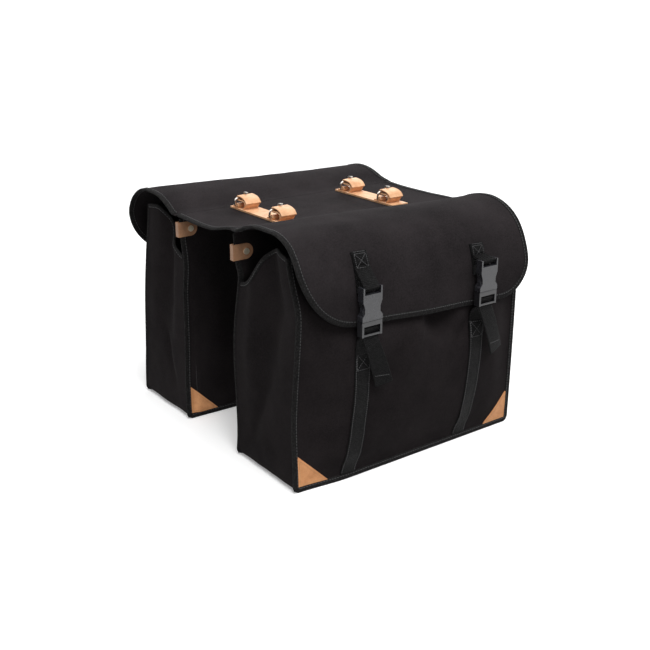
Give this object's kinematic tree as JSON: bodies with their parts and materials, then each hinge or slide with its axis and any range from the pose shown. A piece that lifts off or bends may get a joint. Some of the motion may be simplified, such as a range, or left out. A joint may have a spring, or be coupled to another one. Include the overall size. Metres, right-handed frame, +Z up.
{
  "type": "double pannier bag",
  "caption": "Double bicycle pannier: canvas box bags joined by a bridge, with buckled lids, leather carrier straps and corner patches.",
  "frame": {"origin": "on the floor, midway between the two bags and midway along them", "axes": "+X the riding direction along the bags, +Y the left side, +Z up"},
  "size_m": [0.406, 0.5206, 0.353],
  "materials": {
    "canvas": "matte woven polyester",
    "tape": "ribbed binding tape",
    "webbing": "ribbed webbing",
    "leather": "smooth vegetable-tanned",
    "plastic": "satin",
    "metal": "nickel plated",
    "board": "matte"
  },
  "bodies": {
    "saddle": {"bridge_panel": "canvas", "bridge_bindings": "tape", "carrier_bands": "leather", "front_rail_straps": "leather", "rear_rail_straps": "leather", "buckle_chapes": "leather", "carrier_buckle_frames": "metal"},
    "bag_right": {"right_outer_panel": "canvas", "right_inner_panel": "canvas", "right_gusset": "canvas", "right_seam_bindings": "tape", "right_mouth_binding": "tape", "right_base_board": "board", "right_back_board": "board", "right_corner_patches": "leather", "right_corner_tabs": "leather", "right_tab_rivets": "metal", "right_strap_anchors": "webbing"},
    "lid_right": {"right_lid_panel": "canvas", "right_lid_binding": "tape", "right_lid_straps": "webbing"},
    "socket_right_front": {"buckle_socket_right_front": "plastic"},
    "plug_right_front": {"buckle_plug_right_front": "plastic", "webbing_right_front": "webbing"},
    "arm_a_right_front": {"release_arm_a_right_front": "plastic"},
    "arm_b_right_front": {"release_arm_b_right_front": "plastic"},
    "socket_right_rear": {"buckle_socket_right_rear": "plastic"},
    "plug_right_rear": {"buckle_plug_right_rear": "plastic", "webbing_right_rear": "webbing"},
    "arm_a_right_rear": {"release_arm_a_right_rear": "plastic"},
    "arm_b_right_rear": {"release_arm_b_right_rear": "plastic"},
    "bag_left": {"left_outer_panel": "canvas", "left_inner_panel": "canvas", "left_gusset": "canvas", "left_seam_bindings": "tape", "left_mouth_binding": "tape", "left_base_board": "board", "left_back_board": "board", "left_corner_patches": "leather", "left_corner_tabs": "leather", "left_tab_rivets": "metal", "left_strap_anchors": "webbing"},
    "lid_left": {"left_lid_panel": "canvas", "left_lid_binding": "tape", "left_lid_straps": "webbing"},
    "socket_left_front": {"buckle_socket_left_front": "plastic"},
    "plug_left_front": {"buckle_plug_left_front": "plastic", "webbing_left_front": "webbing"},
    "arm_a_left_front": {"release_arm_a_left_front": "plastic"},
    "arm_b_left_front": {"release_arm_b_left_front": "plastic"},
    "socket_left_rear": {"buckle_socket_left_rear": "plastic"},
    "plug_left_rear": {"buckle_plug_left_rear": "plastic", "webbing_left_rear": "webbing"},
    "arm_a_left_rear": {"release_arm_a_left_rear": "plastic"},
    "arm_b_left_rear": {"release_arm_b_left_rear": "plastic"},
    "prong_front_right": {"prong_front_right": "metal"},
    "prong_front_left": {"prong_front_left": "metal"},
    "prong_rear_right": {"prong_rear_right": "metal"},
    "prong_rear_left": {"prong_rear_left": "metal"}
  },
  "joints": [
    {"name": "bag_right_swing", "type": "hinge", "parent": "saddle", "child": "bag_right", "pos_m": [0, -0.076, 0.326], "axis": [-1, 0, 0], "range_deg": [-10, 15]},
    {"name": "lid_right_fold", "type": "hinge", "parent": "bag_right", "child": "lid_right", "pos_m": [0, -0.076, 0.326], "axis": [-1, 0, 0], "range_deg": [0, 75]},
    {"name": "socket_right_front_swing", "type": "hinge", "parent": "lid_right", "child": "socket_right_front", "pos_m": [0.104, -0.251, 0.2825], "axis": [-1, 0, 0], "range_deg": [0, 90]},
    {"name": "plug_right_front_slide", "type": "slide", "parent": "bag_right", "child": "plug_right_front", "axis": [0, 0, -1], "range_m": [0, 0.03], "deforming": ["webbing_right_front", "release_arm_a_right_front", "release_arm_b_right_front"]},
    {"name": "arm_a_right_front_squeeze", "type": "hinge", "parent": "plug_right_front", "child": "arm_a_right_front", "pos_m": [0.1144, -0.251, 0.2398], "axis": [0, -1, 0], "range_deg": [0, 8]},
    {"name": "arm_b_right_front_squeeze", "type": "hinge", "parent": "plug_right_front", "child": "arm_b_right_front", "pos_m": [0.0936, -0.251, 0.2398], "axis": [0, 1, 0], "range_deg": [0, 8]},
    {"name": "socket_right_rear_swing", "type": "hinge", "parent": "lid_right", "child": "socket_right_rear", "pos_m": [-0.104, -0.251, 0.2825], "axis": [-1, 0, 0], "range_deg": [0, 90]},
    {"name": "plug_right_rear_slide", "type": "slide", "parent": "bag_right", "child": "plug_right_rear", "axis": [0, 0, -1], "range_m": [0, 0.03], "deforming": ["webbing_right_rear", "release_arm_a_right_rear", "release_arm_b_right_rear"]},
    {"name": "arm_a_right_rear_squeeze", "type": "hinge", "parent": "plug_right_rear", "child": "arm_a_right_rear", "pos_m": [-0.0936, -0.251, 0.2398], "axis": [0, -1, 0], "range_deg": [0, 8]},
    {"name": "arm_b_right_rear_squeeze", "type": "hinge", "parent": "plug_right_rear", "child": "arm_b_right_rear", "pos_m": [-0.1144, -0.251, 0.2398], "axis": [0, 1, 0], "range_deg": [0, 8]},
    {"name": "bag_left_swing", "type": "hinge", "parent": "saddle", "child": "bag_left", "pos_m": [0, 0.076, 0.326], "axis": [1, 0, 0], "range_deg": [-10, 15]},
    {"name": "lid_left_fold", "type": "hinge", "parent": "bag_left", "child": "lid_left", "pos_m": [0, 0.076, 0.326], "axis": [1, 0, 0], "range_deg": [0, 75]},
    {"name": "socket_left_front_swing", "type": "hinge", "parent": "lid_left", "child": "socket_left_front", "pos_m": [0.104, 0.251, 0.2825], "axis": [1, 0, 0], "range_deg": [0, 90]},
    {"name": "plug_left_front_slide", "type": "slide", "parent": "bag_left", "child": "plug_left_front", "axis": [0, 0, -1], "range_m": [0, 0.03], "deforming": ["webbing_left_front", "release_arm_a_left_front", "release_arm_b_left_front"]},
    {"name": "arm_a_left_front_squeeze", "type": "hinge", "parent": "plug_left_front", "child": "arm_a_left_front", "pos_m": [0.0936, 0.251, 0.2398], "axis": [0, 1, 0], "range_deg": [0, 8]},
    {"name": "arm_b_left_front_squeeze", "type": "hinge", "parent": "plug_left_front", "child": "arm_b_left_front", "pos_m": [0.1144, 0.251, 0.2398], "axis": [0, -1, 0], "range_deg": [0, 8]},
    {"name": "socket_left_rear_swing", "type": "hinge", "parent": "lid_left", "child": "socket_left_rear", "pos_m": [-0.104, 0.251, 0.2825], "axis": [1, 0, 0], "range_deg": [0, 90]},
    {"name": "plug_left_rear_slide", "type": "slide", "parent": "bag_left", "child": "plug_left_rear", "axis": [0, 0, -1], "range_m": [0, 0.03], "deforming": ["webbing_left_rear", "release_arm_a_left_rear", "release_arm_b_left_rear"]},
    {"name": "arm_a_left_rear_squeeze", "type": "hinge", "parent": "plug_left_rear", "child": "arm_a_left_rear", "pos_m": [-0.1144, 0.251, 0.2398], "axis": [0, 1, 0], "range_deg": [0, 8]},
    {"name": "arm_b_left_rear_squeeze", "type": "hinge", "parent": "plug_left_rear", "child": "arm_b_left_rear", "pos_m": [-0.0936, 0.251, 0.2398], "axis": [0, -1, 0], "range_deg": [0, 8]},
    {"name": "prong_front_right_swing", "type": "hinge", "parent": "saddle", "child": "prong_front_right", "pos_m": [0.098, -0.037, 0.3326], "axis": [-1, 0, 0], "range_deg": [0, 50]},
    {"name": "prong_front_left_swing", "type": "hinge", "parent": "saddle", "child": "prong_front_left", "pos_m": [0.098, 0.055, 0.3326], "axis": [-1, 0, 0], "range_deg": [0, 30]},
    {"name": "prong_rear_right_swing", "type": "hinge", "parent": "saddle", "child": "prong_rear_right", "pos_m": [-0.098, -0.037, 0.3326], "axis": [-1, 0, 0], "range_deg": [0, 50]},
    {"name": "prong_rear_left_swing", "type": "hinge", "parent": "saddle", "child": "prong_rear_left", "pos_m": [-0.098, 0.055, 0.3326], "axis": [-1, 0, 0], "range_deg": [0, 30]}
  ],
  "couplings": [
    {"joint": "arm_b_right_front_squeeze", "follows": "arm_a_right_front_squeeze", "ratio": 1},
    {"joint": "arm_b_right_rear_squeeze", "follows": "arm_a_right_rear_squeeze", "ratio": 1},
    {"joint": "arm_b_left_front_squeeze", "follows": "arm_a_left_front_squeeze", "ratio": 1},
    {"joint": "arm_b_left_rear_squeeze", "follows": "arm_a_left_rear_squeeze", "ratio": 1}
  ]
}
